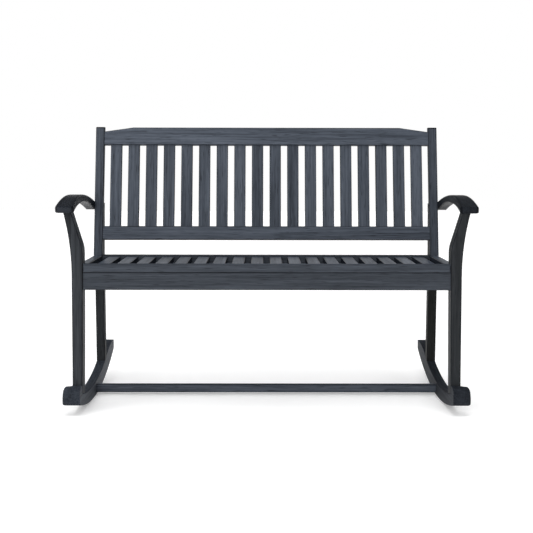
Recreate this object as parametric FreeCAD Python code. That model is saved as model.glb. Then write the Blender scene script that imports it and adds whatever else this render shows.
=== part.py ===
import FreeCAD, Part
import math
import os

# Rocking garden bench of dark stained hardwood, in millimetres.
# +Z is up, the sitter faces -Y, X runs along the seat.
# The origin lies on the floor under the middle of the outer box.

V = FreeCAD.Vector

# Side frames: legs, rockers, side rails and back stiles share one stock thickness
FRAME_INNER = 550.0            # middle of the bench to the inner face of a side frame
STOCK = 29.0                   # thickness of that stock along X

# Rockers
ROCKER_RADIUS = 1524.0         # arc that rolls on the floor
ROCKER_LOW_Y = -84.0           # where that arc is lowest
ROCKER_FRONT_Y = -404.0
ROCKER_REAR_Y = 404.0
WAIST_Y = -130.0               # thinnest place between the legs
WAIST_TOP = 42.0
WAIST_RADIUS = 1374.0          # hollow upper edge between the legs
TAIL_START_Y = 195.0           # where the upper edge turns from hollow to rounded
TAIL_CREST_Y = 370.0           # highest place of the rear end
TAIL_CREST_TOP = 111.5
TAIL_CORNER = 8.0              # rounding of its lower rear corner
TOE_TOP = 84.2                 # raised block in front of the leg
TOE_FACE_TOP = 74.0            # top of the upright front face
TOE_ROUND_LENGTH = 28.0        # from the front face to where the block's top is level
TOE_BEVEL = 6.0                # bottom front bevel
TOE_FLARE = 24.0               # how far the toe swells outwards
TOE_FLARE_FULL = 25.0          # from the front face to where it starts to narrow towards the leg
TOE_LEAN = 4.0                 # how much less it swells at its top
TOE_CORNER = 9.0               # plan radius of the toe's outer corner
TOE_ROUND = 9.0                # rounding of the swelling's lower edge
TOE_TOP_ROUND = 4.0            # rounding of its upper edge

# Front legs
FRONT_LEG_FRONT_Y = -357.0
FRONT_LEG_DEPTH = 55.0
FLARE_OUTER_START = 415.0      # height where the outer face starts to curve outwards
FLARE_OUTER_RADIUS = 745.0
FRONT_LEG_SWELL = 3.8          # how far the inner face swells inwards from the foot to the seat
FLARE_INNER_START = 481.0
FLARE_INNER_RADIUS = 91.0
FLARE_INNER_END = 508.0        # above this the inner face runs straight

# Seat
SEAT_EDGE_TOP = 449.0          # crown of the front rail
SEAT_JOIN_TOP = 444.0          # where slats meet the front rail
SEAT_FLAT_TOP = 433.5          # level part of the slats
SEAT_SIDE_TOP = 437.5          # side rails and rear rail
SEAT_DISH_Y = -130.0           # where the slats' curve runs out level
SEAT_SLAT_THICKNESS = 20.0
SEAT_SLAT_REAR_Y = 114.0
FRONT_RAIL_SETBACK = 2.0       # behind the front faces of the legs
FRONT_RAIL_DEPTH = 50.0
FRONT_RAIL_BOTTOM = 423.5
FRONT_RAIL_NOSE = 9.0          # radius of its top front edge
FRONT_RAIL_CORNER = 5.0        # radius of its upright edges beside the front legs
REAR_RAIL_DEPTH = 50.0
REAR_RAIL_THICKNESS = 24.5
SIDE_RAIL_HEIGHT = 62.5
APRON_THICKNESS = 22.0
APRON_HEIGHT = 53.1
FRONT_APRON_SETBACK = 5.0
REAR_APRON_Y = 146.0           # its front face
BEARER_Y = -100.0
BEARER_WIDTH = 34.0
BEARER_HEIGHT = 22.0

# Slats, the same layout in seat and back
SLAT_COUNT = 18
SLAT_WIDTH = 38.6
SLAT_GAP = 21.3

# Back panel, leaned back as one flat frame
BACK_FOOT_Y = 107.8            # front face of the stiles at the side rail's top
RECLINE = 11.5                 # degrees from upright
STILE_DEPTH = 28.0
STILE_TOP = 869.0
CREST_BOTTOM = 810.2
CREST_END_TOP = 854.7
CREST_TOP = 868.6
CREST_SLOPE_LENGTH = 97.5      # sloping end of the crest's top, from the stile inwards
LOWER_RAIL_BOTTOM = 492.0
LOWER_RAIL_TOP = 536.5
BACK_RAIL_THICKNESS = 22.0
BACK_RAIL_SETBACK = 3.0
BACK_SLAT_THICKNESS = 12.0

# Rear legs
REAR_LEG_DEPTH = 43.4
REAR_LEG_RAKE = 0.07           # run of the lower part backwards per millimetre down
REAR_LEG_ABOVE_ARM = 21.0      # its top over the underside of the arm
REAR_LEG_TOP_DEPTH = 17.0      # what is left of its depth behind the leaning stile at the top
REAR_LEG_BEND = 260.0          # radius of the bend at seat height

# Arms
ARM_FRONT_Y = -398.0
ARM_REAR_Y = 184.0
ARM_CROWN_Y = -165.0
ARM_THICKNESS = 23.5           # from the top of the belly to the top of the crown
ARM_TOP_RADIUS_FRONT = 930.0
ARM_TOP_RADIUS_REAR = 1820.0
ARM_BELLY_Y = -110.0           # highest place of the underside
ARM_BELLY_HEIGHT = 625.0
ARM_BELLY_RADIUS_FRONT = 1680.0
ARM_BELLY_RADIUS_REAR = 1000.0
ARM_LAND_Y = 150.0             # the underside is level behind this
ARM_TOP_ROUNDING = 6.0
ARM_UNDER_ROUNDING = 3.0
ARM_OVERHANG = 41.5            # outer edge beyond the side frame
ARM_OVERHANG_REAR = 29.0
ARM_INSET_NOSE = 15.0          # inner edge outside the side frame's inner face
ARM_INSET_MIDDLE = 25.5
ARM_NOSE_CORNER = 12.0         # rounded corners, seen from above
ARM_INNER_CORNER = 9.0
ARM_TAIL_CORNER = 10.0

# Foot stretcher between the rockers
STRETCHER_Y = -46.0
STRETCHER_WIDTH = 22.0
STRETCHER_BOTTOM = 6.0
STRETCHER_HEIGHT = 26.3

# Edges and joints
EASE = 3.0                     # rounding of the frame's long edges
SLAT_EASE = 2.0
TENON_THICKNESS = 10.0
TENON_LENGTH = 18.0
FOOT_TENON_LENGTH = 20.0
ARM_TENON_LENGTH = 9.0
REAR_TENON_LENGTH = 11.0       # side rail into rear leg, short of the bolts there
TENON_INSET = 6.0              # from a rail's edge to its tenon's edge
SLAT_TENON_THICKNESS = 8.0
SLAT_TENON_LENGTH = 10.0
SLAT_TENON_INSET = 4.0
CHEEK_CLEARANCE = 0.15         # around every tenon
END_CLEARANCE = 1.0            # past the end of every tenon

# Hardware
BOLT_R = 3.0
BOLT_LENGTH = 62.0
BOLT_HEAD_R = 6.5
BOLT_HEAD_HEIGHT = 4.0
BOLT_KEY_R = 2.3
BOLT_KEY_DEPTH = 2.4
BOLT_CLEARANCE = 0.3
BOLT_SPACING = 26.0
COUNTERBORE_DEPTH = 5.0
NUT_R = 5.0
NUT_LENGTH = 14.0
NUT_CLEARANCE = 0.15
NUT_FROM_TIP = 8.0             # bolt's tip to the nut's axis
THREAD_CLEARANCE = 0.05
SCREW_R = 2.5
SCREW_LENGTH = 45.0
SCREW_HEAD_R = 5.0
SCREW_HEAD_HEIGHT = 3.0
SLAT_SCREW_R = 2.0
SLAT_SCREW_LENGTH = 36.0
SLAT_SCREW_HEAD_R = 4.0
SLAT_SCREW_HEAD_HEIGHT = 2.5
SCREW_CLEARANCE = 0.05
SURFACE_TOLERANCE = 0.3        # for finding the edges of a shaped surface
STILE_SCREW_ABOVE_SEAT = 44.5
STILE_SCREW_BELOW_ARM = 31.0
STILE_SCREW_BITE = 20.0        # length of a screw inside the stile
ARM_SCREW_SETS = (155.0, 178.0)
ARM_SCREW_RISE = 12.0          # above the underside of the arm
ARM_SCREW_BITE = 18.0

# Derived places
FRAME_OUTER = FRAME_INNER + STOCK
FRAME_MIDDLE = FRAME_INNER + STOCK / 2
FRONT_LEG_INNER = FRAME_INNER - FRONT_LEG_SWELL
ARM_OUTER = FRAME_OUTER + ARM_OVERHANG
ARM_OUTER_REAR = FRAME_OUTER + ARM_OVERHANG_REAR
ARM_INNER_NOSE = FRAME_INNER + ARM_INSET_NOSE
ARM_INNER_MIDDLE = FRAME_INNER + ARM_INSET_MIDDLE
ARM_CROWN_TOP = ARM_BELLY_HEIGHT + ARM_THICKNESS
CREST_BEND_X = FRAME_INNER - CREST_SLOPE_LENGTH
FRONT_LEG_REAR_Y = FRONT_LEG_FRONT_Y + FRONT_LEG_DEPTH
FRONT_LEG_MIDDLE_Y = FRONT_LEG_FRONT_Y + FRONT_LEG_DEPTH / 2
FRONT_RAIL_FRONT_Y = FRONT_LEG_FRONT_Y + FRONT_RAIL_SETBACK
FRONT_RAIL_REAR_Y = FRONT_RAIL_FRONT_Y + FRONT_RAIL_DEPTH
REAR_RAIL_BOTTOM = SEAT_SIDE_TOP - REAR_RAIL_THICKNESS
SIDE_RAIL_BOTTOM = SEAT_SIDE_TOP - SIDE_RAIL_HEIGHT
LEAN = math.tan(math.radians(RECLINE))
STILE_RUN = STILE_DEPTH / math.cos(math.radians(RECLINE))
SLAT_PITCH = SLAT_WIDTH + SLAT_GAP
SLAT_CENTRES = [(i - (SLAT_COUNT - 1) / 2) * SLAT_PITCH for i in range(SLAT_COUNT)]


def rise(y, middle, radius):
    """Height of a round arc above its lowest point."""
    return radius - math.sqrt(radius ** 2 - (y - middle) ** 2)


def floor_arc(y):
    return rise(y, ROCKER_LOW_Y, ROCKER_RADIUS)


def waist_arc(y):
    return WAIST_TOP + rise(y, WAIST_Y, WAIST_RADIUS)


def tail_arc(y):
    run, drop = TAIL_CREST_Y - TAIL_START_Y, TAIL_CREST_TOP - waist_arc(TAIL_START_Y)
    return TAIL_CREST_TOP - rise(y, TAIL_CREST_Y, (run ** 2 + drop ** 2) / (2 * drop))


def rocker_top(y):
    """Upper edge of a rocker behind its toe."""
    return waist_arc(y) if y < TAIL_START_Y else tail_arc(y)


def arm_top(y):
    radius = ARM_TOP_RADIUS_FRONT if y < ARM_CROWN_Y else ARM_TOP_RADIUS_REAR
    return ARM_CROWN_TOP - rise(y, ARM_CROWN_Y, radius)


def arm_under(y):
    radius = ARM_BELLY_RADIUS_FRONT if y < ARM_BELLY_Y else ARM_BELLY_RADIUS_REAR
    return ARM_BELLY_HEIGHT - rise(min(y, ARM_LAND_Y), ARM_BELLY_Y, radius)


def stile_front(z):
    return BACK_FOOT_Y + LEAN * (z - SEAT_SIDE_TOP)


def stile_rear(z):
    return stile_front(z) + STILE_RUN


def rear_leg_front(z):
    """Front face of a rear leg: raked below the seat, along the stile above it."""
    if z > SEAT_SIDE_TOP:
        return stile_rear(z)
    return stile_rear(SEAT_SIDE_TOP) + REAR_LEG_RAKE * (SEAT_SIDE_TOP - z)


def box(x0, x1, y0, y1, z0, z1):
    return Part.makeBox(x1 - x0, y1 - y0, z1 - z0, V(x0, y0, z0))


def rod(start, direction, radius, length):
    return Part.makeCylinder(radius, length, start, direction)


def rear_leg_top():
    return arm_under(ARM_LAND_Y) + REAR_LEG_ABOVE_ARM


def arm_screw_height():
    return arm_under(ARM_LAND_Y) + ARM_SCREW_RISE


def outline(plane, path):
    """Closed face in plane YZ, XZ or XY. A step is a point, or a pair of a point on an arc and its end."""
    place = {"YZ": lambda a, b: V(0, a, b), "XZ": lambda a, b: V(a, 0, b), "XY": lambda a, b: V(a, b, 0)}[plane]
    here = place(*path[0])
    edges = []
    for step in list(path[1:]) + [path[0]]:
        if isinstance(step[0], tuple):
            there = place(*step[1])
            edges.append(Part.Arc(here, place(*step[0]), there).toShape())
        else:
            there = place(*step)
            if here.distanceToPoint(there) < 1e-6:
                continue
            edges.append(Part.LineSegment(here, there).toShape())
        here = there
    return Part.Face(Part.Wire(edges))


def slab_x(path, x0, x1):
    face = outline("YZ", path)
    face.translate(V(x0, 0, 0))
    return face.extrude(V(x1 - x0, 0, 0))


def slab_y(path, y0, y1):
    face = outline("XZ", path)
    face.translate(V(0, y0, 0))
    return face.extrude(V(0, y1 - y0, 0))


def slab_z(path, z0, z1):
    face = outline("XY", path)
    face.translate(V(0, 0, z0))
    return face.extrude(V(0, 0, z1 - z0))


def curve(height, y0, y1):
    """Arc step of an outline from y0 to y1 along a height function that is one round arc there."""
    middle = (y0 + y1) / 2
    return ((middle, height(middle)), (y1, height(y1)))


def eased(solid, radius, chosen):
    """The solid with every edge that the test picks rounded."""
    return solid.makeFillet(radius, [e for e in solid.Edges if chosen(e.BoundBox)])


def long_along_x(edge):
    return edge.XLength > 60


def long_along_y(edge):
    return edge.YLength > 60


def long_along_z(edge):
    return edge.ZLength > 60


def mirrored(solid):
    return solid.mirror(V(0, 0, 0), V(1, 0, 0))


def both_ends(solid):
    return [solid, mirrored(solid)]


def cut_all(solid, tools):
    for tool in tools:
        solid = solid.cut(tool)
    return solid


def fuse_all(solid, extras):
    for extra in extras:
        solid = solid.fuse(extra)
    return solid.removeSplitter()


def peg(x0, x1, y0, y1, z0, z1, room=0.0, ends=(0, 0, 0, 0, 0, 0)):
    """Tenon as a box; room grows it into its mortise, ends says which sides are its tip."""
    grow = [END_CLEARANCE if tip and room else room for tip in ends]
    return box(x0 - grow[0], x1 + grow[1], y0 - grow[2], y1 + grow[3], z0 - grow[4], z1 + grow[5])


# Tenons, each as a function of the room around it, so that a mortise follows its tenon
def front_foot_tenon(room=0.0):
    y0, y1 = FRONT_LEG_FRONT_Y + 12, FRONT_LEG_REAR_Y - 12
    low = rocker_top(y1) - FOOT_TENON_LENGTH
    return peg(FRAME_MIDDLE - TENON_THICKNESS / 2, FRAME_MIDDLE + TENON_THICKNESS / 2,
               y0, y1, low, rocker_top(y0) + 5, room, (0, 0, 0, 0, 1, 0))


def rear_foot_y():
    return rear_leg_front(rocker_top(stile_rear(SEAT_SIDE_TOP)))


def rear_foot_tenon(room=0.0):
    y0, y1 = rear_foot_y() + 10, rear_foot_y() + REAR_LEG_DEPTH - 8
    low = rocker_top(y0) - FOOT_TENON_LENGTH
    return peg(FRAME_MIDDLE - TENON_THICKNESS / 2, FRAME_MIDDLE + TENON_THICKNESS / 2,
               y0, y1, low, rocker_top(y1) + 5, room, (0, 0, 0, 0, 1, 0))


def leg_outer_x(z):
    return FRAME_OUTER + (rise(z, FLARE_OUTER_START, FLARE_OUTER_RADIUS) if z > FLARE_OUTER_START else 0.0)


def leg_inner_x(z):
    if z <= FLARE_INNER_START:
        height = FLARE_INNER_START - WAIST_TOP
        swell_radius = (height ** 2 + FRONT_LEG_SWELL ** 2) / (2 * FRONT_LEG_SWELL)
        return FRONT_LEG_INNER + rise(z, FLARE_INNER_START, swell_radius)
    bend = min(z, FLARE_INNER_END)
    run = FLARE_INNER_END - FLARE_INNER_START
    slope = run / math.sqrt(FLARE_INNER_RADIUS ** 2 - run ** 2)
    return FRONT_LEG_INNER + rise(bend, FLARE_INNER_START, FLARE_INNER_RADIUS) + (z - bend) * slope


def arm_tenon(room=0.0):
    y0, y1 = FRONT_LEG_FRONT_Y + 14, FRONT_LEG_REAR_Y - 14
    top = arm_under(y0) + ARM_TENON_LENGTH
    middle = (leg_outer_x(top) + leg_inner_x(top)) / 2
    return peg(middle - TENON_THICKNESS / 2, middle + TENON_THICKNESS / 2,
               y0, y1, arm_under(y0) - 8, top, room, (0, 0, 0, 0, 0, 1))


def side_rail_tenons(room=0.0):
    x0, x1 = FRAME_MIDDLE - TENON_THICKNESS / 2, FRAME_MIDDLE + TENON_THICKNESS / 2
    z0, z1 = SIDE_RAIL_BOTTOM + TENON_INSET, SEAT_SIDE_TOP - TENON_INSET
    rear = rear_leg_front(z1)
    return [peg(x0, x1, FRONT_LEG_REAR_Y - TENON_LENGTH, FRONT_LEG_REAR_Y + 5, z0, z1, room, (0, 0, 1, 0, 0, 0)),
            peg(x0, x1, rear - 5, rear + REAR_TENON_LENGTH, z0, z1, room, (0, 0, 0, 1, 0, 0))]


def bearer_tenon(room=0.0):
    z1 = SEAT_FLAT_TOP - SEAT_SLAT_THICKNESS
    return peg(FRAME_INNER - 5, FRAME_INNER + TENON_THICKNESS, BEARER_Y - BEARER_WIDTH / 2 + TENON_INSET,
               BEARER_Y + BEARER_WIDTH / 2 - TENON_INSET, z1 - BEARER_HEIGHT + TENON_INSET,
               z1 - TENON_INSET, room, (0, 1, 0, 0, 0, 0))


def seat_slat_tenons(x, room=0.0):
    half = SLAT_WIDTH / 2 - SLAT_TENON_INSET
    front_z = SEAT_JOIN_TOP - SEAT_SLAT_THICKNESS / 2
    rear_z = SEAT_FLAT_TOP - SEAT_SLAT_THICKNESS / 2
    half_t = SLAT_TENON_THICKNESS / 2
    return [peg(x - half, x + half, FRONT_RAIL_REAR_Y - SLAT_TENON_LENGTH, FRONT_RAIL_REAR_Y + 3,
                front_z - half_t, front_z + half_t, room, (0, 0, 1, 0, 0, 0)),
            peg(x - half, x + half, SEAT_SLAT_REAR_Y - 3, SEAT_SLAT_REAR_Y + SLAT_TENON_LENGTH,
                rear_z - half_t, rear_z + half_t, room, (0, 0, 0, 1, 0, 0))]


# The back panel is drawn upright, with t its depth from the stiles' front faces and s its height
# along the slope from the side rail's top, and then leaned back.
def leaned(solid):
    solid = solid.copy()
    solid.rotate(V(0, 0, 0), V(1, 0, 0), -RECLINE)
    solid.translate(V(0, BACK_FOOT_Y, SEAT_SIDE_TOP))
    return solid


def slope_height(z):
    return (z - SEAT_SIDE_TOP) / math.cos(math.radians(RECLINE))


def back_rail_tenon(low, high, room=0.0):
    middle = BACK_RAIL_SETBACK + BACK_RAIL_THICKNESS / 2
    return peg(FRAME_INNER - 5, FRAME_INNER + TENON_LENGTH, middle - TENON_THICKNESS / 2,
               middle + TENON_THICKNESS / 2, low + TENON_INSET, high - TENON_INSET, room, (0, 1, 0, 0, 0, 0))


def back_slat_tenons(x, room=0.0):
    half = SLAT_WIDTH / 2 - SLAT_TENON_INSET
    middle = BACK_RAIL_SETBACK + BACK_RAIL_THICKNESS / 2
    t0, t1 = middle - SLAT_TENON_THICKNESS / 2, middle + SLAT_TENON_THICKNESS / 2
    low, high = slope_height(LOWER_RAIL_TOP), slope_height(CREST_BOTTOM)
    return [peg(x - half, x + half, t0, t1, low - SLAT_TENON_LENGTH, low + 3, room, (0, 0, 0, 0, 1, 0)),
            peg(x - half, x + half, t0, t1, high - 3, high + SLAT_TENON_LENGTH, room, (0, 0, 0, 0, 0, 1))]


# Hardware, drawn on the +X side and mirrored
def bolt_places():
    """Middle of each bolt's seat on the outer face of a side frame, and the way its nut's axis runs."""
    apron_mid = FRONT_RAIL_BOTTOM - APRON_HEIGHT / 2
    front_y = FRONT_LEG_FRONT_Y + FRONT_APRON_SETBACK + APRON_THICKNESS / 2
    rear_y = REAR_APRON_Y + APRON_THICKNESS / 2
    rear_mid = REAR_RAIL_BOTTOM - APRON_HEIGHT / 2
    places = []
    for side in (-1, 1):
        places.append((front_y, apron_mid + side * BOLT_SPACING / 2, 1))
        places.append((rear_y, rear_mid + side * BOLT_SPACING / 2, -1))
    places.append((STRETCHER_Y, STRETCHER_BOTTOM + STRETCHER_HEIGHT / 2, 1))
    return places


def bolt_seat_x():
    return FRAME_OUTER - COUNTERBORE_DEPTH


def bolt(y, z):
    seat = bolt_seat_x()
    body = rod(V(seat, y, z), V(-1, 0, 0), BOLT_R, BOLT_LENGTH)
    head = rod(V(seat, y, z), V(1, 0, 0), BOLT_HEAD_R, BOLT_HEAD_HEIGHT)
    head = head.makeFillet(1.2, [e for e in head.Edges if e.CenterOfMass.x > seat + BOLT_HEAD_HEIGHT - 0.1])
    key = rod(V(seat + BOLT_HEAD_HEIGHT - BOLT_KEY_DEPTH, y, z), V(1, 0, 0), BOLT_KEY_R, BOLT_KEY_DEPTH + 1)
    return body.fuse(head).cut(key).removeSplitter()


def bolt_hole(y, z):
    seat = bolt_seat_x()
    hole = rod(V(seat + 1, y, z), V(-1, 0, 0), BOLT_R + BOLT_CLEARANCE, BOLT_LENGTH + 3)
    return hole.fuse(rod(V(seat, y, z), V(1, 0, 0), BOLT_HEAD_R + BOLT_CLEARANCE, COUNTERBORE_DEPTH + 1))


def nut_x():
    return bolt_seat_x() - BOLT_LENGTH + NUT_FROM_TIP


def nut_start(y, way):
    """The nut lies inside its piece, 4 mm short of the face away from the open end."""
    return y - way * (NUT_LENGTH / 2 - 0.5)


def barrel_nut(y, z, way):
    nut = rod(V(nut_x(), nut_start(y, way), z), V(0, way, 0), NUT_R, NUT_LENGTH)
    return nut.cut(rod(V(nut_x() - 2 * NUT_R, y, z), V(1, 0, 0), BOLT_R + THREAD_CLEARANCE, 4 * NUT_R))


def nut_hole(y, z, way):
    return rod(V(nut_x(), nut_start(y, way), z), V(0, way, 0), NUT_R + NUT_CLEARANCE, NUT_LENGTH + 20)


def screw(head_face, way, radius, length, head_radius, head_height, room=0.0):
    """Countersunk screw whose flat head lies in head_face; room grows it into its hole."""
    cone = Part.makeCone(head_radius + room, radius + room, head_height, head_face, way)
    shank = rod(head_face, way, radius + room, length + room)
    return cone.fuse(shank).removeSplitter()


def frame_screw_lines():
    """Head position and direction of each long screw on the +X side."""
    lines = []
    rail_y = (FRONT_RAIL_FRONT_Y + FRONT_RAIL_REAR_Y) / 2
    lines.append((V(FRAME_OUTER, rail_y, (FRONT_RAIL_BOTTOM + SEAT_JOIN_TOP) / 2), V(-1, 0, 0)))
    rear_y = SEAT_SLAT_REAR_Y + REAR_RAIL_DEPTH - 9
    lines.append((V(FRAME_OUTER, rear_y, SEAT_SIDE_TOP - REAR_RAIL_THICKNESS / 2), V(-1, 0, 0)))
    for y in ARM_SCREW_SETS:
        lines.append((V(FRAME_OUTER + ARM_SCREW_BITE - SCREW_LENGTH, y, arm_screw_height()), V(1, 0, 0)))
    for z in (SEAT_SIDE_TOP + STILE_SCREW_ABOVE_SEAT, arm_under(ARM_LAND_Y) - STILE_SCREW_BELOW_ARM):
        into = math.radians(RECLINE)
        way = V(0, -math.cos(into), math.sin(into))
        seat = V(FRAME_MIDDLE, stile_rear(z), z)
        lines.append((seat - way * (SCREW_LENGTH - STILE_SCREW_BITE), way))
    return lines


def frame_screw(line, room=0.0):
    head, way = line
    return screw(head, way, SCREW_R, SCREW_LENGTH, SCREW_HEAD_R, SCREW_HEAD_HEIGHT, room)


def screw_hole(line):
    """Hole for a long screw, open behind its head."""
    head, way = line
    access = rod(head, way * -1, SCREW_HEAD_R + SCREW_CLEARANCE, SCREW_LENGTH)
    return frame_screw(line, SCREW_CLEARANCE).fuse(access)


def slat_screw(x, room=0.0):
    low = SEAT_FLAT_TOP - SEAT_SLAT_THICKNESS - BEARER_HEIGHT
    return screw(V(x, BEARER_Y, low), V(0, 0, 1), SLAT_SCREW_R, SLAT_SCREW_LENGTH, SLAT_SCREW_HEAD_R,
                 SLAT_SCREW_HEAD_HEIGHT, room)


# Pieces of the right side frame
def toe_cheek(path):
    """Outward swelling in front of the leg, with the toe's own side outline and rounded long edges."""
    front = ROCKER_FRONT_Y
    wide = FRAME_OUTER + TOE_FLARE
    full, back = front + TOE_FLARE_FULL, FRONT_LEG_FRONT_Y
    half_way = (FRAME_OUTER + TOE_FLARE / 2, (full + back) / 2)
    bow = TOE_FLARE / 7
    run = (back - full) / 4
    corner = TOE_CORNER * (1 - math.sqrt(0.5))
    plan = slab_z([(FRAME_OUTER, front), (wide - TOE_CORNER, front), ((wide - corner, front + corner),
                   (wide, front + TOE_CORNER)), (wide, full), ((wide - bow, full + run), half_way),
                   ((FRAME_OUTER + bow, back - run), (FRAME_OUTER, back))], 0, TOE_TOP + 1)
    low = floor_arc(front + TOE_BEVEL)
    low_turn = TOE_ROUND * (1 - math.sqrt(0.5))
    top_turn = TOE_TOP_ROUND * (1 - math.sqrt(0.5))
    crown_wide = wide - TOE_LEAN
    side_mid = (wide - TOE_LEAN / 4, (low + TOE_ROUND + TOE_TOP - TOE_TOP_ROUND) / 2)
    front_view = slab_y([(FRAME_OUTER, low), (wide - TOE_ROUND, low),
                         ((wide - low_turn, low + low_turn), (wide, low + TOE_ROUND)),
                         (side_mid, (crown_wide, TOE_TOP - TOE_TOP_ROUND)),
                         ((crown_wide - top_turn, TOE_TOP - top_turn), (crown_wide - TOE_TOP_ROUND, TOE_TOP)),
                         (FRAME_OUTER, TOE_TOP)], front, back)
    return slab_x(path, FRAME_OUTER, wide).common(plan).common(front_view)


def rocker():
    front, rear, leg_y = ROCKER_FRONT_Y, ROCKER_REAR_Y, FRONT_LEG_FRONT_Y
    toe_back = front + TOE_ROUND_LENGTH
    toe_drop = TOE_TOP - TOE_FACE_TOP
    toe_radius = (TOE_ROUND_LENGTH ** 2 + toe_drop ** 2) / (2 * toe_drop)

    def toe_arc(y):
        return TOE_TOP - rise(y, toe_back, toe_radius)

    bottom = [curve(floor_arc, rear - TAIL_CORNER, front + TOE_BEVEL),
              (front, floor_arc(front + TOE_BEVEL) + TOE_BEVEL), (front, TOE_FACE_TOP),
              curve(toe_arc, front, toe_back), (leg_y, TOE_TOP)]
    toe = [(leg_y, floor_arc(leg_y)), curve(floor_arc, leg_y, front + TOE_BEVEL)] + bottom[1:]
    corner = TAIL_CORNER * (1 - math.sqrt(0.5))
    low = floor_arc(rear - TAIL_CORNER)
    path = [(rear - TAIL_CORNER, low)] + bottom
    path += [(leg_y, rocker_top(leg_y)), curve(waist_arc, leg_y, TAIL_START_Y), curve(tail_arc, TAIL_START_Y, rear),
             (rear, low + TAIL_CORNER), ((rear - corner, low + corner), (rear - TAIL_CORNER, low))]
    solid = slab_x(path, FRAME_INNER, FRAME_OUTER)
    solid = eased(solid, EASE, lambda e: long_along_y(e) and e.ZMin > WAIST_TOP - 1 and e.YMax < TAIL_START_Y + 1)
    solid = fuse_all(solid, [toe_cheek(toe)])
    solid = cut_all(solid, [front_foot_tenon(CHEEK_CLEARANCE), rear_foot_tenon(CHEEK_CLEARANCE)])
    return cut_all(solid, [bolt_hole(y, z) for y, z, way in bolt_places()])


def front_leg():
    top = ARM_BELLY_HEIGHT
    foot = WAIST_TOP
    bend_mid = (FLARE_INNER_START + FLARE_INNER_END) / 2
    outer_mid = (FLARE_OUTER_START + top) / 2
    swell_mid = (foot + FLARE_INNER_START) / 2
    front_view = slab_y([(FRAME_INNER, foot), (FRAME_OUTER, foot), (FRAME_OUTER, FLARE_OUTER_START),
                         ((leg_outer_x(outer_mid), outer_mid), (leg_outer_x(top), top)),
                         (leg_inner_x(top), top), (leg_inner_x(FLARE_INNER_END), FLARE_INNER_END),
                         ((leg_inner_x(bend_mid), bend_mid), (FRONT_LEG_INNER, FLARE_INNER_START)),
                         ((leg_inner_x(swell_mid), swell_mid), (FRAME_INNER, foot))],
                        FRONT_LEG_FRONT_Y, FRONT_LEG_REAR_Y)
    front_view = eased(front_view, EASE, long_along_z)
    y0, y1 = FRONT_LEG_FRONT_Y, FRONT_LEG_REAR_Y
    side_view = slab_x([(y0 - 1, rocker_top(y0 - 1)), curve(rocker_top, y0 - 1, y1 + 1),
                        (y1 + 1, arm_under(y1 + 1)), curve(arm_under, y1 + 1, y0 - 1)],
                       FRONT_LEG_INNER - 5, leg_outer_x(top) + 5)
    solid = front_view.common(side_view)
    solid = fuse_all(solid, [front_foot_tenon(), arm_tenon()])
    solid = cut_all(solid, side_rail_tenons(CHEEK_CLEARANCE))
    solid = cut_all(solid, [bolt_hole(y, z) for y, z, way in bolt_places()])
    return cut_all(solid, [screw_hole(line) for line in frame_screw_lines()])


def rear_leg_outline():
    """Side outline with a smooth bend at seat height on the rear edge."""
    foot_y = rear_foot_y()
    foot_z = WAIST_TOP
    knee = (rear_leg_front(SEAT_SIDE_TOP) + REAR_LEG_DEPTH, SEAT_SIDE_TOP)
    low = (rear_leg_front(foot_z) + REAR_LEG_DEPTH, foot_z)
    top = rear_leg_top()
    high = (rear_leg_front(top) + REAR_LEG_TOP_DEPTH, top)

    def toward(start, end, distance):
        length = math.dist(start, end)
        return (start[0] + (end[0] - start[0]) * distance / length, start[1] + (end[1] - start[1]) * distance / length)

    half_turn = (math.atan2(high[0] - knee[0], high[1] - knee[1]) + math.atan(REAR_LEG_RAKE)) / 2
    setback = REAR_LEG_BEND * math.tan(half_turn)
    below, above = toward(knee, low, setback), toward(knee, high, setback)
    depth = REAR_LEG_BEND * (1 / math.cos(half_turn) - 1)
    touch = (knee[0] + depth, knee[1])
    return [(rear_leg_front(foot_z), foot_z), (rear_leg_front(SEAT_SIDE_TOP), SEAT_SIDE_TOP),
            (rear_leg_front(top), top), high, above, (touch, below), low]


def rear_leg():
    solid = slab_x(rear_leg_outline(), FRAME_INNER, FRAME_OUTER)
    y0, y1 = rear_foot_y() - 30, rear_foot_y() + REAR_LEG_DEPTH + 30
    under = slab_x([(y0, waist_arc(y0)), curve(waist_arc, y0, TAIL_START_Y), curve(tail_arc, TAIL_START_Y, y1),
                    (y1, -20), (y0, -20)],
                   FRAME_INNER - 5, FRAME_OUTER + 5)
    solid = eased(solid, EASE, lambda e: long_along_z(e) and e.YMax > REAR_APRON_Y + 5)
    solid = solid.cut(under)
    solid = fuse_all(solid, [rear_foot_tenon()])
    solid = cut_all(solid, side_rail_tenons(CHEEK_CLEARANCE))
    solid = cut_all(solid, [bolt_hole(y, z) for y, z, way in bolt_places()])
    return cut_all(solid, [screw_hole(line) for line in frame_screw_lines()])


def side_rail():
    y0 = FRONT_LEG_REAR_Y
    solid = slab_x([(y0, SIDE_RAIL_BOTTOM), (rear_leg_front(SIDE_RAIL_BOTTOM), SIDE_RAIL_BOTTOM),
                    (rear_leg_front(SEAT_SIDE_TOP), SEAT_SIDE_TOP), (y0, SEAT_SIDE_TOP)],
                   FRAME_INNER, FRAME_OUTER)
    solid = eased(solid, EASE, long_along_y)
    solid = fuse_all(solid, side_rail_tenons())
    return solid.cut(bearer_tenon(CHEEK_CLEARANCE))


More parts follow.
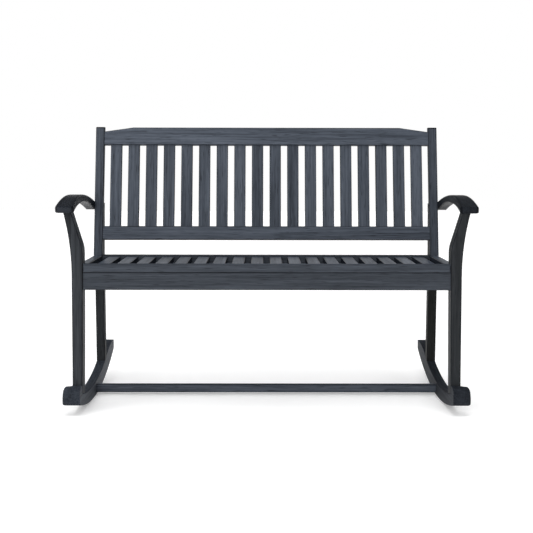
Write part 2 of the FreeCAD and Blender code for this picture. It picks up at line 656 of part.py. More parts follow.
def free_rim(solid, height, last_y):
    """The edges round the arm's top or underside up to last_y, but for those against the frame."""
    rim = []
    for edge in solid.Edges:
        ends = (edge.valueAt(edge.FirstParameter), edge.valueAt(edge.LastParameter))
        middle = edge.valueAt((edge.FirstParameter + edge.LastParameter) / 2)
        on_surface = all(abs(p.z - height(p.y)) < SURFACE_TOLERANCE for p in (*ends, middle))
        across = edge.BoundBox.YLength < SURFACE_TOLERANCE and middle.y > ARM_FRONT_Y + SURFACE_TOLERANCE
        on_frame = abs(middle.x - FRAME_OUTER) < SURFACE_TOLERANCE
        if on_surface and not across and not on_frame and middle.y < last_y:
            rim.append(edge)
    return rim


def arm():
    front, rear = ARM_FRONT_Y, ARM_REAR_Y
    beyond = front - ARM_NOSE_CORNER / 4
    side = slab_x([(rear, arm_under(rear)), (ARM_LAND_Y, arm_under(ARM_LAND_Y)),
                   curve(arm_under, ARM_LAND_Y, ARM_BELLY_Y), curve(arm_under, ARM_BELLY_Y, beyond),
                   (beyond, arm_top(beyond)),
                   curve(arm_top, beyond, ARM_CROWN_Y), curve(arm_top, ARM_CROWN_Y, rear)],
                  FRAME_INNER, ARM_OUTER + ARM_NOSE_CORNER)
    waist_in = (ARM_INNER_MIDDLE, ARM_CROWN_Y)
    tail_in = (FRAME_OUTER, ARM_LAND_Y - 30)
    bow_front = (ARM_INNER_MIDDLE + ARM_INNER_NOSE) / 2 + 1.2
    bow_rear = (ARM_INNER_MIDDLE + FRAME_OUTER) / 2 + 0.8
    shoulder = (ARM_OUTER, ARM_CROWN_Y - 20)
    bow_outer = ARM_OUTER - (ARM_OUTER - ARM_OUTER_REAR) / 3
    nose, inner, tail = ARM_NOSE_CORNER, ARM_INNER_CORNER, ARM_TAIL_CORNER
    nose_cut, inner_cut, tail_cut = [corner * (1 - math.sqrt(0.5)) for corner in (nose, inner, tail)]
    plan = slab_z([(ARM_INNER_NOSE + inner, front),
                   ((ARM_INNER_NOSE + inner_cut, front + inner_cut), (ARM_INNER_NOSE, front + inner)),
                   ((bow_front, (front + ARM_CROWN_Y) / 2), waist_in),
                   ((bow_rear, (ARM_CROWN_Y + tail_in[1]) / 2), tail_in),
                   (FRAME_OUTER, rear), (ARM_OUTER_REAR - tail, rear),
                   ((ARM_OUTER_REAR - tail_cut, rear - tail_cut), (ARM_OUTER_REAR, rear - tail)),
                   ((bow_outer, (shoulder[1] + rear) / 2), shoulder), (ARM_OUTER, front + nose),
                   ((ARM_OUTER - nose_cut, front + nose_cut), (ARM_OUTER - nose, front))],
                  arm_under(rear) - 2 * ARM_THICKNESS, ARM_CROWN_TOP + ARM_THICKNESS)
    solid = side.common(plan)
    solid = solid.makeFillet(ARM_TOP_ROUNDING, free_rim(solid, arm_top, rear))
    solid = solid.makeFillet(ARM_UNDER_ROUNDING, free_rim(solid, arm_under, ARM_LAND_Y))
    solid = solid.cut(arm_tenon(CHEEK_CLEARANCE))
    return cut_all(solid, [screw_hole(line) for line in frame_screw_lines()])


def back_stile():
    low, high = slope_height(SEAT_SIDE_TOP - 30), slope_height(STILE_TOP + 30)
    solid = box(FRAME_INNER, FRAME_OUTER, 0, STILE_DEPTH, low, high)
    solid = eased(solid, EASE, long_along_z)
    tenons = [back_rail_tenon(slope_height(LOWER_RAIL_BOTTOM), slope_height(LOWER_RAIL_TOP), CHEEK_CLEARANCE),
              back_rail_tenon(slope_height(CREST_BOTTOM), slope_height(CREST_END_TOP), CHEEK_CLEARANCE)]
    solid = leaned(cut_all(solid, tenons))
    reach = box(FRAME_INNER - 1, FRAME_OUTER + 1, 0, 400, SEAT_SIDE_TOP, STILE_TOP)
    solid = solid.common(reach)
    top = [e for e in solid.Edges if e.BoundBox.ZMin > STILE_TOP - 0.01]
    solid = solid.makeChamfer(1.5, top)
    return cut_all(solid, [screw_hole(line) for line in frame_screw_lines()])


# Pieces between the side frames
def cross_rail(y0, y1, z0, z1, ease, half_length=FRAME_INNER):
    return eased(box(-half_length, half_length, y0, y1, z0, z1), ease, long_along_x)


def bolted(solid):
    for y, z, way in bolt_places():
        for tool in (bolt_hole(y, z), nut_hole(y, z, way)):
            solid = cut_all(solid, both_ends(tool))
    return solid


def front_apron():
    y0 = FRONT_LEG_FRONT_Y + FRONT_APRON_SETBACK
    return bolted(cross_rail(y0, y0 + APRON_THICKNESS, FRONT_RAIL_BOTTOM - APRON_HEIGHT, FRONT_RAIL_BOTTOM, 2.0,
                             FRONT_LEG_INNER))


def rear_apron():
    return bolted(cross_rail(REAR_APRON_Y, REAR_APRON_Y + APRON_THICKNESS, REAR_RAIL_BOTTOM - APRON_HEIGHT,
                             REAR_RAIL_BOTTOM, 2.0))


def foot_stretcher():
    half = STRETCHER_WIDTH / 2
    return bolted(cross_rail(STRETCHER_Y - half, STRETCHER_Y + half, STRETCHER_BOTTOM,
                             STRETCHER_BOTTOM + STRETCHER_HEIGHT, EASE))


def seat_front_rail():
    y0, y1 = FRONT_RAIL_FRONT_Y, FRONT_RAIL_REAR_Y
    nose_y, nose_z = y0 + FRONT_RAIL_NOSE, SEAT_EDGE_TOP - FRONT_RAIL_NOSE
    corner = FRONT_RAIL_NOSE * math.sqrt(0.5)
    crown_y = nose_y + 4
    drop = SEAT_EDGE_TOP - SEAT_JOIN_TOP
    face = [(y0, FRONT_RAIL_BOTTOM + 1.5), (y0, nose_z), ((nose_y - corner, nose_z + corner), (nose_y, SEAT_EDGE_TOP)),
            (crown_y, SEAT_EDGE_TOP), (((crown_y + y1) / 2, SEAT_EDGE_TOP - drop * 0.36), (y1, SEAT_JOIN_TOP)),
            (y1, FRONT_RAIL_BOTTOM), (y0 + 1.5, FRONT_RAIL_BOTTOM)]
    end, turn = FRONT_LEG_INNER, FRONT_RAIL_CORNER
    turn_cut = turn * (1 - math.sqrt(0.5))
    plan = slab_z([(-end, y1 + 1), (-end, y0 + turn), ((-end + turn_cut, y0 + turn_cut), (-end + turn, y0)),
                   (end - turn, y0), ((end - turn_cut, y0 + turn_cut), (end, y0 + turn)), (end, y1 + 1)],
                  FRONT_RAIL_BOTTOM - 1, SEAT_EDGE_TOP + 1)
    solid = slab_x(face, -end - 1, end + 1).common(plan)
    for x in SLAT_CENTRES:
        solid = solid.cut(seat_slat_tenons(x, CHEEK_CLEARANCE)[0])
    return cut_all(solid, [t for line in frame_screw_lines() for t in both_ends(screw_hole(line))])


def seat_rear_rail():
    y0 = SEAT_SLAT_REAR_Y
    solid = cross_rail(y0, y0 + REAR_RAIL_DEPTH, REAR_RAIL_BOTTOM, SEAT_SIDE_TOP, 2.5)
    for x in SLAT_CENTRES:
        solid = solid.cut(seat_slat_tenons(x, CHEEK_CLEARANCE)[1])
    return cut_all(solid, [t for line in frame_screw_lines() for t in both_ends(screw_hole(line))])


def seat_centre_bearer():
    z1 = SEAT_FLAT_TOP - SEAT_SLAT_THICKNESS
    half = BEARER_WIDTH / 2
    solid = cross_rail(BEARER_Y - half, BEARER_Y + half, z1 - BEARER_HEIGHT, z1, SLAT_EASE)
    solid = fuse_all(solid, both_ends(bearer_tenon()))
    return cut_all(solid, [slat_screw(x, SCREW_CLEARANCE) for x in SLAT_CENTRES])


def seat_slat(x):
    y0, y1 = FRONT_RAIL_REAR_Y, SEAT_SLAT_REAR_Y
    run = SEAT_DISH_Y - y0
    drop = SEAT_JOIN_TOP - SEAT_FLAT_TOP
    radius = (run ** 2 + drop ** 2) / (2 * drop)

    def top(y):
        return SEAT_FLAT_TOP + rise(y, SEAT_DISH_Y, radius)

    def under(y):
        return SEAT_FLAT_TOP - SEAT_SLAT_THICKNESS + rise(y, SEAT_DISH_Y, radius + SEAT_SLAT_THICKNESS)

    low = SEAT_FLAT_TOP - SEAT_SLAT_THICKNESS
    side = [(y1, low), (y1, SEAT_FLAT_TOP), (SEAT_DISH_Y, SEAT_FLAT_TOP), curve(top, SEAT_DISH_Y, y0),
            (y0, under(y0)), curve(under, y0, SEAT_DISH_Y)]
    solid = slab_x(side, x - SLAT_WIDTH / 2, x + SLAT_WIDTH / 2)
    solid = eased(solid, SLAT_EASE, long_along_y)
    solid = fuse_all(solid, seat_slat_tenons(x))
    return solid.cut(slat_screw(x, SCREW_CLEARANCE))


def crest_rail():
    low, high = slope_height(CREST_BOTTOM), slope_height(CREST_TOP)
    end_top = slope_height(CREST_END_TOP)
    t0, t1 = BACK_RAIL_SETBACK, BACK_RAIL_SETBACK + BACK_RAIL_THICKNESS
    front = [(-FRAME_INNER, low), (FRAME_INNER, low), (FRAME_INNER, end_top), (CREST_BEND_X, high),
             (-CREST_BEND_X, high), (-FRAME_INNER, end_top)]
    solid = eased(slab_y(front, t0, t1), SLAT_EASE, long_along_x)
    solid = fuse_all(solid, both_ends(back_rail_tenon(low, end_top)))
    for x in SLAT_CENTRES:
        solid = solid.cut(back_slat_tenons(x, CHEEK_CLEARANCE)[1])
    return leaned(solid)


def lower_back_rail():
    low, high = slope_height(LOWER_RAIL_BOTTOM), slope_height(LOWER_RAIL_TOP)
    solid = cross_rail(BACK_RAIL_SETBACK, BACK_RAIL_SETBACK + BACK_RAIL_THICKNESS, low, high, SLAT_EASE)
    solid = fuse_all(solid, both_ends(back_rail_tenon(low, high)))
    for x in SLAT_CENTRES:
        solid = solid.cut(back_slat_tenons(x, CHEEK_CLEARANCE)[0])
    return leaned(solid)


def back_slat(x):
    middle = BACK_RAIL_SETBACK + BACK_RAIL_THICKNESS / 2
    solid = box(x - SLAT_WIDTH / 2, x + SLAT_WIDTH / 2, middle - BACK_SLAT_THICKNESS / 2,
                middle + BACK_SLAT_THICKNESS / 2, slope_height(LOWER_RAIL_TOP), slope_height(CREST_BOTTOM))
    solid = eased(solid, SLAT_EASE, long_along_z)
    return leaned(fuse_all(solid, back_slat_tenons(x)))


def save(name, solids):
    """One file per node; a group of fasteners is saved as separate solids."""
    pieces = [piece for solid in solids for piece in solid.Solids]
    shape = pieces[0] if len(pieces) == 1 else Part.makeCompound(pieces)
    print(name, len(pieces), round(shape.Volume / 1000, 1), "cm3", "sound" if shape.isValid() else "NOT SOUND")
    shape.exportStep(f"parts/{name}.step")


def save_pair(name, solid):
    save(f"{name}_right", [solid])
    save(f"{name}_left", [mirrored(solid)])


def main():
    os.makedirs("parts", exist_ok=True)
    for name, make in (("rocker", rocker), ("front_leg", front_leg), ("rear_leg", rear_leg), ("arm", arm),
                       ("seat_side_rail", side_rail), ("back_stile", back_stile)):
        save_pair(name, make())
    for name, make in (("front_apron", front_apron), ("rear_apron", rear_apron), ("foot_stretcher", foot_stretcher),
                       ("seat_front_rail", seat_front_rail), ("seat_rear_rail", seat_rear_rail),
                       ("seat_centre_bearer", seat_centre_bearer), ("crest_rail", crest_rail),
                       ("lower_back_rail", lower_back_rail)):
        save(name, [make()])
    for number, x in enumerate(SLAT_CENTRES, 1):
        save(f"seat_slat_{number:02d}", [seat_slat(x)])
        save(f"back_slat_{number:02d}", [back_slat(x)])
    save("frame_bolts", [s for y, z, way in bolt_places() for s in both_ends(bolt(y, z))])
    save("barrel_nuts", [s for y, z, way in bolt_places() for s in both_ends(barrel_nut(y, z, way))])
    save("frame_screws", [s for line in frame_screw_lines() for s in both_ends(frame_screw(line))])
    save("slat_screws", [slat_screw(x) for x in SLAT_CENTRES])


main()
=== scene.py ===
import math
import bpy
from mathutils import Matrix, Vector

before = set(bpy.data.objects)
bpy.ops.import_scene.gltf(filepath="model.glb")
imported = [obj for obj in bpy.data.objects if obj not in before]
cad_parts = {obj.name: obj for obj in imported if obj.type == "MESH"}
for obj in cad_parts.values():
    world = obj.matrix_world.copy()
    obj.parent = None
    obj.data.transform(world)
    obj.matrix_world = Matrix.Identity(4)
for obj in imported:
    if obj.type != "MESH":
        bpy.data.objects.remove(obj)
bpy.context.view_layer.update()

# Bench, in metres
RECLINE = math.radians(11.5)      # the back's lean from upright
APRON_EDGE = 0.4208               # the front apron is darkened above this height: painted shade under the front rail
POST_ENDS = 0.8645                # the back posts are darkened above this height
DARKENING_STEP = 0.0015                # height over which the wood turns dark above such a line

# Turns that bring a piece's grain to local X
ALONG_SEAT = (0.0, 0.0, 0.0)
FRONT_TO_BACK = (0.0, 0.0, math.radians(90))
UPRIGHT = (0.0, math.radians(90), 0.0)
LEANED = (RECLINE, math.radians(90), 0.0)

# Stain and steel: the first two have their shift for one unit of warmth beside them
DARK_STAIN, DARK_WARMING = (0.009, 0.011, 0.0147), (0.002, 0.0, -0.004)
LIGHT_STAIN, LIGHT_WARMING = (0.050, 0.058, 0.0725), (0.004, 0.0, -0.012)
PORE_STAIN = (0.006, 0.007, 0.009, 1.0)
# Dark tone for painted shade on eased edges and sides, also laid above set heights on the apron and back posts
PAINTED_SHADE = (0.005, 0.0055, 0.0075, 1.0)
RUBBED_STAIN = (0.075, 0.080, 0.090, 1.0)
SHEEN_TINT = (0.86, 0.91, 1.0, 1.0)
PORE_DEPTH = 0.75                 # how dark and deep the pores are
GRAIN_SHIFT = (7.3, 11.9, 5.1)    # how far a piece's own number moves it in the grain pattern
DULL_ZINC, BRIGHT_ZINC = (0.22, 0.22, 0.23, 1.0), (0.42, 0.42, 0.43, 1.0)

# Studio
WHITE = (1.0, 1.0, 1.0, 1.0)
WALL_LIGHT = 0.6                  # world strength from the studio's walls
WALL_TO_CEILING = 0.06            # the ceiling's share of that
WALL_TO_SIDES = 0.2               # the share of the dark screens at both sides
FLOOR_WIDTH = 30.0
FLOOR_COLOUR = (0.82, 0.82, 0.82, 1.0)
FLOOR_GLOW = 0.44                 # added where the camera sees the floor, so that it shows white
FLOOR_IN_REFLECTIONS = 0.4        # how much of that glow shows in glossy wood
CONTACT_REACH = 0.06              # width of the painted shadow in the floor's glow where a piece comes near the floor
CONTACT_SHADE = 0.58              # what is left of the glow in it

# Camera: fitted to the photograph, whose picture is PHOTO_WIDTH pixels wide
PHOTO_WIDTH = 533
SENSOR_WIDTH = 36.0
FOCAL_LENGTH = 1188.6             # in pixels
PICTURE_SHIFT = (-0.6172, -18.783)
CAMERA_PLACE = (-0.0166, -3.8656, 0.7441)
CAMERA_PAN, CAMERA_TILT, CAMERA_ROLL = -0.2772, 4.023, 0.1032


# Shader helpers
def new_group(name, inputs, outputs):
    """An empty node group with named sockets; returns the group, its input node and its output node."""
    group = bpy.data.node_groups.new(name, "ShaderNodeTree")
    for label, kind, value in inputs:
        socket = group.interface.new_socket(name=label, in_out="INPUT", socket_type=kind)
        if value is not None:
            socket.default_value = value
    for label, kind in outputs:
        group.interface.new_socket(name=label, in_out="OUTPUT", socket_type=kind)
    return group, group.nodes.new("NodeGroupInput"), group.nodes.new("NodeGroupOutput")


def new_material(name):
    """A material with its node tree and its Principled BSDF."""
    material = bpy.data.materials.new(name)
    material.use_nodes = True
    return material, material.node_tree, material.node_tree.nodes["Principled BSDF"]


def add_node(tree, kind, **settings):
    """A node with plain settings and, under sockets, the values of its inputs by name or number."""
    node = tree.nodes.new("ShaderNode" + kind)
    sockets = settings.pop("sockets", {})
    for key, value in settings.items():
        setattr(node, key, value)
    for key, value in sockets.items():
        node.inputs[key].default_value = value
    return node


def split_up(tree, vector):
    """The node that gives a vector's X, Y and Z."""
    node = add_node(tree, "SeparateXYZ")
    tree.links.new(vector, node.inputs[0])
    return node


def remap(tree, value, low, high, to_low, to_high):
    """Value carried from the range low..high to the range to_low..to_high, and held inside it."""
    node = add_node(tree, "MapRange", sockets={"From Min": low, "From Max": high, "To Min": to_low,
                                               "To Max": to_high})
    tree.links.new(value, node.inputs["Value"])
    return node.outputs["Result"]


def calculate(tree, operation, first, second=0.0):
    """A Math node on two values, each a number or another node's output."""
    node = add_node(tree, "Math", operation=operation)
    for socket, value in zip(node.inputs, (first, second)):
        if isinstance(value, (int, float)):
            socket.default_value = value
        else:
            tree.links.new(value, socket)
    return node.outputs[0]


def blend(tree, factor, first, second):
    """Colour that goes from first to second with factor."""
    mix = add_node(tree, "Mix", data_type="RGBA")
    tree.links.new(factor, mix.inputs["Factor"])
    for socket, value in ((mix.inputs["A"], first), (mix.inputs["B"], second)):
        if isinstance(value, tuple):
            socket.default_value = value
        else:
            tree.links.new(value, socket)
    return mix.outputs["Result"]


def stretched_noise(tree, place, along, across, detail, roughness, distortion=0.0):
    """Noise drawn out along local X: along and across are its features per metre."""
    scaled = add_node(tree, "VectorMath", operation="MULTIPLY", sockets={1: (along, across, across)})
    tree.links.new(place, scaled.inputs[0])
    noise = add_node(tree, "TexNoise", sockets={"Scale": 1.0, "Detail": detail, "Roughness": roughness,
                                                "Distortion": distortion})
    tree.links.new(scaled.outputs[0], noise.inputs["Vector"])
    return noise.outputs["Fac"]


# Effects that all the stained woods share
def wood_grain_group():
    """Grain of planed hardwood that runs along local X: broad figure, fine streaks and fibres, open pores."""
    group, given, result = new_group(
        "wood grain",
        [("Place", "NodeSocketVector", None), ("Figure", "NodeSocketFloat", 0.5), ("Pores", "NodeSocketFloat", 0.5)],
        [("Tone", "NodeSocketFloat"), ("Pore", "NodeSocketFloat"), ("Height", "NodeSocketFloat")])
    place = given.outputs["Place"]
    figure = stretched_noise(group, place, along=1.1, across=26.0, detail=3.0, roughness=0.55, distortion=0.35)
    streak = stretched_noise(group, place, along=4.5, across=190.0, detail=3.0, roughness=0.6)
    fibre = stretched_noise(group, place, along=16.0, across=620.0, detail=2.0, roughness=0.6)
    pore = stretched_noise(group, place, along=22.0, across=480.0, detail=1.0, roughness=0.5)
    figure = remap(group, figure, 0.3, 0.7, 0.0, 1.0)
    streak = remap(group, streak, 0.32, 0.68, 0.0, 1.0)
    fibre = remap(group, fibre, 0.3, 0.7, 0.0, 1.0)
    pore = remap(group, pore, 0.6, 0.74, 0.0, 1.0)
    broad = calculate(group, "MULTIPLY", figure, given.outputs["Figure"])
    streak = calculate(group, "MULTIPLY", streak, 0.55)
    fibre = calculate(group, "MULTIPLY", fibre, 0.25)
    fine = calculate(group, "ADD", streak, fibre)
    deep = calculate(group, "MULTIPLY", pore, given.outputs["Pores"])
    raised = calculate(group, "MULTIPLY", fine, 0.5)
    group.links.new(calculate(group, "ADD", broad, fine), result.inputs["Tone"])
    group.links.new(deep, result.inputs["Pore"])
    group.links.new(calculate(group, "SUBTRACT", raised, deep), result.inputs["Height"])
    return group


def eased_edge_group():
    """Masks for the rounded edges along a piece: where shade is painted on them, and where they are rubbed thin."""
    group, given, result = new_group(
        "eased edges",
        [("Place", "NodeSocketVector", None), ("Facing", "NodeSocketVector", None)],
        [("Edge", "NodeSocketFloat"), ("Rubbed", "NodeSocketFloat")])
    sideways = calculate(group, "ABSOLUTE", split_up(group, given.outputs["Facing"]).outputs["Y"])
    edge = calculate(group, "MINIMUM", remap(group, sideways, 0.12, 0.4, 0.0, 1.0),
                     remap(group, sideways, 0.985, 0.9, 0.0, 1.0))
    breaks = add_node(group, "TexNoise", sockets={"Scale": 42.0, "Detail": 3.0, "Roughness": 0.65})
    group.links.new(given.outputs["Place"], breaks.inputs["Vector"])
    rubbed = calculate(group, "MULTIPLY", edge, remap(group, breaks.outputs["Fac"], 0.5, 0.66, 0.0, 1.0))
    group.links.new(edge, result.inputs["Edge"])
    group.links.new(rubbed, result.inputs["Rubbed"])
    return group


WOOD_GRAIN = wood_grain_group()
EASED_EDGES = eased_edge_group()


# Finishes
def mixed_stain(stain, warming, lightness, warmth):
    """The stain's colour made lighter and warmer."""
    return tuple(tone * lightness + shift * warmth for tone, shift in zip(stain, warming)) + (1.0,)


def along_grain(tree, coordinates, own_number, turn):
    """A point's place in the grain pattern, and its normal, both turned so that the grain runs along X."""
    turned = add_node(tree, "Mapping", sockets={"Rotation": turn})
    tree.links.new(coordinates.outputs["Object"], turned.inputs["Vector"])
    facing = add_node(tree, "Mapping", vector_type="VECTOR", sockets={"Rotation": turn})
    tree.links.new(coordinates.outputs["Normal"], facing.inputs["Vector"])
    shift = add_node(tree, "VectorMath", operation="SCALE", sockets={0: GRAIN_SHIFT})
    tree.links.new(own_number, shift.inputs["Scale"])
    place = add_node(tree, "VectorMath", operation="ADD")
    tree.links.new(turned.outputs[0], place.inputs[0])
    tree.links.new(shift.outputs[0], place.inputs[1])
    return place.outputs[0], facing.outputs[0]


def stained_wood(name, turn, lightness=1.0, warmth=0.0, gloss=0.3, side_gloss=0.0, under_gloss=0.0, polish=0.0,
                 figure=0.36, tone_range=0.14, edge_shade=0.9, edge_rub=0.25, side_shade=0.0, dark_above=None,
                 worn_round=0.0):
    """Blue-grey stain on open-grained hardwood.

    lightness and warmth: the stain itself, and on some pieces painted shade. figure: strength of the broad grain.
    tone_range: how much lighter or darker one piece may be than another. edge_shade: painted shade on the eased
    edges; edge_rub: rubbed spots there; side_shade: painted shade on the sides that face left and right.
    dark_above: height above which the wood is made dark. gloss: sheen of the faces; side_gloss: of those sides;
    under_gloss: what is added to it on the underside. polish: smoothness. worn_round: width over which sharp edges
    are shaded as if worn.
    """
    material, tree, surface = new_material(name)
    coordinates = add_node(tree, "TexCoord")
    own_number = add_node(tree, "ObjectInfo").outputs["Random"]
    place, facing = along_grain(tree, coordinates, own_number, turn)
    grain = add_node(tree, "Group", node_tree=WOOD_GRAIN, sockets={"Figure": figure, "Pores": PORE_DEPTH})
    tree.links.new(place, grain.inputs["Place"])
    edges = add_node(tree, "Group", node_tree=EASED_EDGES)
    tree.links.new(place, edges.inputs["Place"])
    tree.links.new(facing, edges.inputs["Facing"])
    normal = split_up(tree, coordinates.outputs["Normal"])
    sides = remap(tree, calculate(tree, "ABSOLUTE", normal.outputs["X"]), 0.8, 0.97, 0.0, 1.0)

    own_tone = remap(tree, own_number, 0.0, 1.0, -tone_range, tone_range)
    tone = calculate(tree, "ADD", grain.outputs["Tone"], own_tone)
    colour = blend(tree, tone, mixed_stain(DARK_STAIN, DARK_WARMING, lightness, warmth),
                   mixed_stain(LIGHT_STAIN, LIGHT_WARMING, lightness, warmth))
    colour = blend(tree, grain.outputs["Pore"], colour, PORE_STAIN)
    # painted shade on the eased edges
    colour = blend(tree, calculate(tree, "MULTIPLY", edges.outputs["Edge"], edge_shade), colour, PAINTED_SHADE)
    colour = blend(tree, calculate(tree, "MULTIPLY", edges.outputs["Rubbed"], edge_rub), colour, RUBBED_STAIN)
    # painted shade on the sides that face left and right
    if side_shade:
        colour = blend(tree, calculate(tree, "MULTIPLY", sides, side_shade), colour, PAINTED_SHADE)
    # darker above a set height: on the apron this is painted shade under the front rail
    if dark_above is not None:
        height = split_up(tree, coordinates.outputs["Object"]).outputs["Z"]
        darkened = remap(tree, height, dark_above, dark_above + DARKENING_STEP, 0.0, 1.0)
        colour = blend(tree, darkened, colour, PAINTED_SHADE)
    tree.links.new(colour, surface.inputs["Base Color"])

    roughness = remap(tree, grain.outputs["Tone"], 0.0, 1.0, 0.58 - polish, 0.48 - polish)
    tree.links.new(roughness, surface.inputs["Roughness"])
    surface.inputs["Specular Tint"].default_value = SHEEN_TINT
    surface.inputs["Specular IOR Level"].default_value = gloss
    if side_gloss != gloss:
        sheen = remap(tree, sides, 0.0, 1.0, gloss, side_gloss)
        if under_gloss:
            sheen = calculate(tree, "ADD", sheen, remap(tree, normal.outputs["Z"], -0.7, -0.9, 0.0, under_gloss))
        tree.links.new(sheen, surface.inputs["Specular IOR Level"])

    bump = add_node(tree, "Bump", sockets={"Strength": 0.35, "Distance": 0.0004})
    tree.links.new(grain.outputs["Height"], bump.inputs["Height"])
    tree.links.new(bump.outputs["Normal"], surface.inputs["Normal"])
    if worn_round:
        rounding = add_node(tree, "Bevel", samples=4, sockets={"Radius": worn_round})
        tree.links.new(rounding.outputs["Normal"], bump.inputs["Normal"])
    return material


def zinc_steel(name):
    """Dull plated steel with fine speckle."""
    material, tree, surface = new_material(name)
    coordinates = add_node(tree, "TexCoord")
    speckle = add_node(tree, "TexNoise", sockets={"Scale": 900.0, "Detail": 3.0, "Roughness": 0.6})
    tree.links.new(coordinates.outputs["Object"], speckle.inputs["Vector"])
    colour = blend(tree, speckle.outputs["Fac"], DULL_ZINC, BRIGHT_ZINC)
    tree.links.new(colour, surface.inputs["Base Color"])
    roughness = remap(tree, speckle.outputs["Fac"], 0.3, 0.7, 0.3, 0.5)
    tree.links.new(roughness, surface.inputs["Roughness"])
    surface.inputs["Metallic"].default_value = 1.0
    bump = add_node(tree, "Bump", sockets={"Strength": 0.2, "Distance": 0.0001})
    tree.links.new(speckle.outputs["Fac"], bump.inputs["Height"])
    tree.links.new(bump.outputs["Normal"], surface.inputs["Normal"])
    return material


# The right runner, front leg and back post are darker than the left ones: painted shade, with the light from the
# left.
FINISHES = {
    "seat front": stained_wood("stained seat front", ALONG_SEAT, 1.4, 0.15, gloss=0.25, edge_shade=0.1),
    "front rail": stained_wood("stained front rail", ALONG_SEAT, 1.4, 0.15, gloss=0.25),
    "apron": stained_wood("stained apron", ALONG_SEAT, 1.35, 0.2, gloss=0.25, dark_above=APRON_EDGE),
    "stretcher": stained_wood("stained stretcher", ALONG_SEAT, 2.6, 0.3, gloss=0.2),
    "back rail": stained_wood("stained back rail", ALONG_SEAT, 2.7, gloss=0.2),
    "seat": stained_wood("stained seat slat", FRONT_TO_BACK, 2.2, -0.6, gloss=0.28, polish=0.2, side_shade=0.8),
    "left runner": stained_wood("stained left runner", FRONT_TO_BACK, 1.0, -0.1, gloss=0.12, side_gloss=0.7,
                                polish=-0.12, edge_shade=0.2),
    "right runner": stained_wood("stained right runner with painted shade", FRONT_TO_BACK, 0.62, 0.0, gloss=0.1, side_gloss=0.4,
                                 polish=-0.12, edge_shade=0.2),
    # Both arms are darker than the rest, the right one more: painted shade for their dark sloping tops.
    "left arm": stained_wood("stained left arm with painted shade", FRONT_TO_BACK, 0.5, -0.2, gloss=0.24, side_gloss=0.004,
                             under_gloss=-0.22, polish=0.25, edge_rub=0.1, worn_round=0.009),
    "right arm": stained_wood("stained right arm with painted shade", FRONT_TO_BACK, 0.45, 0.0, gloss=0.07, side_gloss=0.003,
                              under_gloss=-0.056, polish=0.2, edge_rub=0.1, worn_round=0.009),
    "left front leg": stained_wood("stained left front leg", UPRIGHT, 1.0, 0.6, gloss=0.15, side_gloss=0.15,
                                   edge_shade=0.7, edge_rub=0.1),
    "right front leg": stained_wood("stained right front leg with painted shade", UPRIGHT, 0.75, 0.6, gloss=0.12, side_gloss=0.15,
                                    edge_shade=0.7, edge_rub=0.1),
    # The rear legs are darker than the front ones: painted shade under the seat, deeper on the right.
    "left rear leg": stained_wood("stained left rear leg with painted shade", UPRIGHT, 0.85, 0.7, gloss=0.08, side_gloss=0.05),
    "right rear leg": stained_wood("stained right rear leg with painted shade", UPRIGHT, 0.6, 0.9, gloss=0.08, side_gloss=0.05),
    "left post": stained_wood("stained left back post", LEANED, 1.75, gloss=0.2, side_gloss=0.05, figure=0.4,
                              side_shade=0.4, edge_shade=0.6, dark_above=POST_ENDS),
    "right post": stained_wood("stained right back post with painted shade", LEANED, 1.45, gloss=0.2, side_gloss=0.05, figure=0.4,
                               side_shade=0.4, edge_shade=0.6, dark_above=POST_ENDS),
    "back": stained_wood("stained back slat", LEANED, 2.1, gloss=0.2, figure=0.5, side_shade=0.85, tone_range=0.09),
    "steel": zinc_steel("plated steel"),
}
FINISH_OF = {
    "rocker_left": "left runner", "rocker_right": "right runner",
    "front_leg_left": "left front leg", "front_leg_right": "right front leg",
    "rear_leg_left": "left rear leg", "rear_leg_right": "right rear leg",
    "arm_left": "left arm", "arm_right": "right arm",
    "back_stile_left": "left post", "back_stile_right": "right post",
    "front_apron": "apron", "rear_apron": "stretcher", "foot_stretcher": "stretcher",
    "seat_front": "seat front", "seat_rear": "front rail", "seat_centre": "stretcher",
    "seat_side": "seat", "seat_slat": "seat",
    "crest": "back rail", "lower_back": "back rail", "back_slat": "back",
    "frame_bolts": "steel", "barrel_nuts": "steel", "frame_screws": "steel", "slat_screws": "steel",
}


def dress(node):
    """Gives a piece the finish that goes with the start of its name."""
    start = next(start for start in FINISH_OF if node.name.startswith(start))
    node.data.materials.clear()
    node.data.materials.append(FINISHES[FINISH_OF[start]])


# White studio
def white_floor():
    """Floor that shows white to the camera and keeps the bench's shadow."""
    bpy.ops.mesh.primitive_plane_add(size=FLOOR_WIDTH, location=(0.0, 0.0, 0.0))
    floor = bpy.context.object
    floor.name = "studio_floor"
    material, tree, surface = new_material("white floor")
    surface.inputs["Base Color"].default_value = FLOOR_COLOUR
    surface.inputs["Roughness"].default_value = 1.0
    surface.inputs["Specular IOR Level"].default_value = 0.0
    path = add_node(tree, "LightPath")
    mirrored = calculate(tree, "MULTIPLY", path.outputs["Is Glossy Ray"], FLOOR_IN_REFLECTIONS)
    seen = calculate(tree, "MAXIMUM", path.outputs["Is Camera Ray"], mirrored)
    seen = calculate(tree, "MAXIMUM", seen, path.outputs["Is Transmission Ray"])
    # painted contact shadow: ambient occlusion darkens the floor's glow near the pieces
    near = add_node(tree, "AmbientOcclusion", samples=16, sockets={"Distance": CONTACT_REACH})
    contact = remap(tree, near.outputs["AO"], 0.2, 0.95, CONTACT_SHADE, 1.0)
    glow = calculate(tree, "MULTIPLY", calculate(tree, "MULTIPLY", seen, contact), FLOOR_GLOW)
    surface.inputs["Emission Color"].default_value = WHITE
    tree.links.new(glow, surface.inputs["Emission Strength"])
    floor.data.materials.append(material)


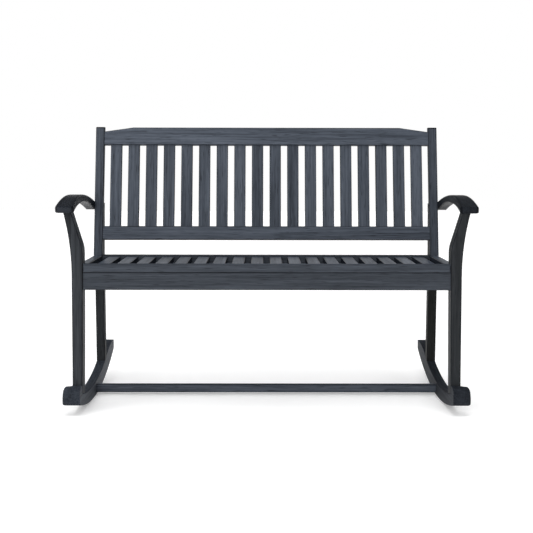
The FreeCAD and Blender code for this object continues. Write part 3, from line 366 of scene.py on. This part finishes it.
def studio_world():
    """Soft light from the walls, less from the ceiling and the sides; looks white behind the bench."""
    world = bpy.data.worlds.new("studio")
    bpy.context.scene.world = world
    world.use_nodes = True
    tree = world.node_tree
    background = tree.nodes["Background"]
    background.inputs["Color"].default_value = WHITE
    direction = split_up(tree, add_node(tree, "TexCoord").outputs["Generated"])
    wall = remap(tree, direction.outputs["Z"], 0.02, 0.2, 1.0, WALL_TO_CEILING)
    sideways = calculate(tree, "ABSOLUTE", direction.outputs["X"])
    screens = remap(tree, sideways, 0.5, 0.9, 1.0, WALL_TO_SIDES)
    wall = calculate(tree, "MULTIPLY", wall, screens)
    path = add_node(tree, "LightPath")
    mirrored = calculate(tree, "MAXIMUM", path.outputs["Is Glossy Ray"], path.outputs["Is Transmission Ray"])
    level = remap(tree, mirrored, 0.0, 1.0, WALL_LIGHT, 1.0)
    light = calculate(tree, "MULTIPLY", wall, level)
    strength = calculate(tree, "MAXIMUM", light, path.outputs["Is Camera Ray"])
    tree.links.new(strength, background.inputs["Strength"])


def add_lamp(name, kind, strength):
    """A lamp in the scene; returns its object and its data."""
    lamp = bpy.data.lights.new(name, kind)
    lamp.energy = strength
    holder = bpy.data.objects.new(name, lamp)
    bpy.context.scene.collection.objects.link(holder)
    return holder, lamp


def softbox(name, place, aim, width, watts):
    """Large square lamp near the bench, so that its light falls off from that side to the other."""
    holder, lamp = add_lamp(name, "AREA", watts)
    lamp.size = width
    holder.location = place
    holder.rotation_euler = (Vector(aim) - Vector(place)).to_track_quat("-Z", "Y").to_euler()


def soft_sun(name, azimuth, height, spread, strength):
    """Large soft light from one direction; azimuth 0 stands in front of the bench, angles in degrees."""
    holder, lamp = add_lamp(name, "SUN", strength)
    lamp.angle = math.radians(spread)
    holder.rotation_euler = (math.radians(90 - height), 0.0, math.radians(azimuth))
    return holder


def studio_lamps():
    """Key light from the front left, and fills that the wood's gloss doesn't mirror."""
    softbox("front left softbox", place=(-2.4, -2.9, 1.9), aim=(0.0, 0.0, 0.5), width=2.4, watts=42.0)
    soft_sun("front soft light", azimuth=-10.0, height=20.0, spread=80.0, strength=0.62)
    for fill in (soft_sun("overhead fill", azimuth=-10.0, height=72.0, spread=40.0, strength=1.4),
                 soft_sun("left fill", azimuth=-98.0, height=20.0, spread=60.0, strength=1.15),
                 soft_sun("right fill", azimuth=98.0, height=20.0, spread=60.0, strength=1.0),
                 soft_sun("rear fill", azimuth=172.0, height=40.0, spread=70.0, strength=0.9)):
        fill.visible_glossy = False


def photo_camera():
    """The photograph's camera, fitted to the bench's measured edges."""
    data = bpy.data.cameras.new("photo camera")
    camera = bpy.data.objects.new("photo camera", data)
    bpy.context.scene.collection.objects.link(camera)
    data.sensor_width = SENSOR_WIDTH
    data.lens = FOCAL_LENGTH / PHOTO_WIDTH * SENSOR_WIDTH
    data.shift_x, data.shift_y = (shift / PHOTO_WIDTH for shift in PICTURE_SHIFT)
    data.clip_start, data.clip_end = 0.1, 100.0
    pan = Matrix.Rotation(math.radians(CAMERA_PAN), 4, "Z")
    tilt = Matrix.Rotation(math.radians(90 - CAMERA_TILT), 4, "X")
    roll = Matrix.Rotation(math.radians(CAMERA_ROLL), 4, "Z")
    camera.matrix_world = Matrix.Translation(CAMERA_PLACE) @ pan @ tilt @ roll
    bpy.context.scene.camera = camera


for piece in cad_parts.values():
    dress(piece)
white_floor()
studio_world()
studio_lamps()
photo_camera()
bpy.context.scene.view_settings.view_transform = "Standard"
